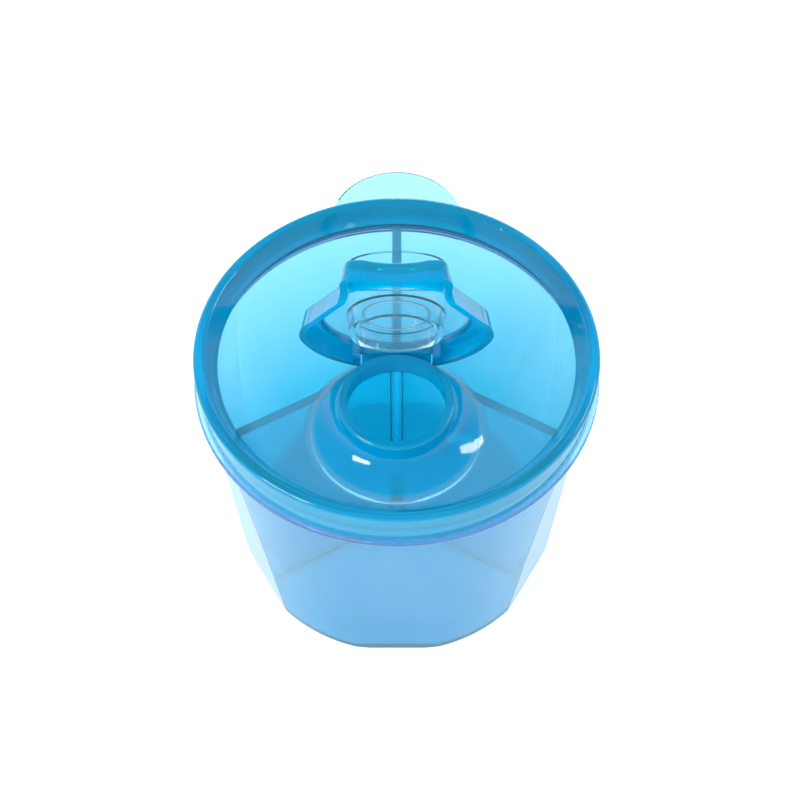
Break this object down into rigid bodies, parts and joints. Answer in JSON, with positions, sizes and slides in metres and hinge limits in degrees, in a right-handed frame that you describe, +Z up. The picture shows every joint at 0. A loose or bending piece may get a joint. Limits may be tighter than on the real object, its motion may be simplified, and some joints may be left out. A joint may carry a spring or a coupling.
{
  "type": "formula dispenser",
  "caption": "Round see-through blue powder dispenser: tapered bowl, lift-out divider, lid that lifts and turns, flared spout and a hinged flip cap that plugs it.",
  "frame": {"origin": "centre of the face that the bowl stands on", "axes": "+Z up through the lid; -Y is the front, where the spout pours; +Y is the thumb tab's side; +X is to the right seen from the front"},
  "size_m": [0.1094, 0.129, 0.1347],
  "materials": {
    "tinted_plastic": "gloss, see-through blue"
  },
  "bodies": {
    "bowl": {"bowl": "tinted_plastic"},
    "divider": {"divider": "tinted_plastic"},
    "lid_ring": {"lid_ring": "tinted_plastic"},
    "lid_disc": {"lid_disc": "tinted_plastic"},
    "flip_cap": {"flip_cap": "tinted_plastic"}
  },
  "joints": [
    {"name": "lid_lift", "type": "slide", "parent": "bowl", "child": "lid_ring", "axis": [0, 0, 1], "range_m": [0, 0.12]},
    {"name": "divider_lift", "type": "slide", "parent": "bowl", "child": "divider", "axis": [0, 0, 1], "range_m": [0, 0.084]},
    {"name": "lid_turn", "type": "hinge", "parent": "lid_ring", "child": "lid_disc", "pos_m": [0, 0, 0.0805], "axis": [0, 0, 1], "continuous": true},
    {"name": "cap_flip", "type": "hinge", "parent": "lid_disc", "child": "flip_cap", "pos_m": [0, -0.0046, 0.0895], "axis": [1, 0, 0], "range_deg": [0, 75.6]}
  ],
  "couplings": [
    {"joint": "divider_lift", "follows": "lid_lift", "ratio": 0.7}
  ]
}
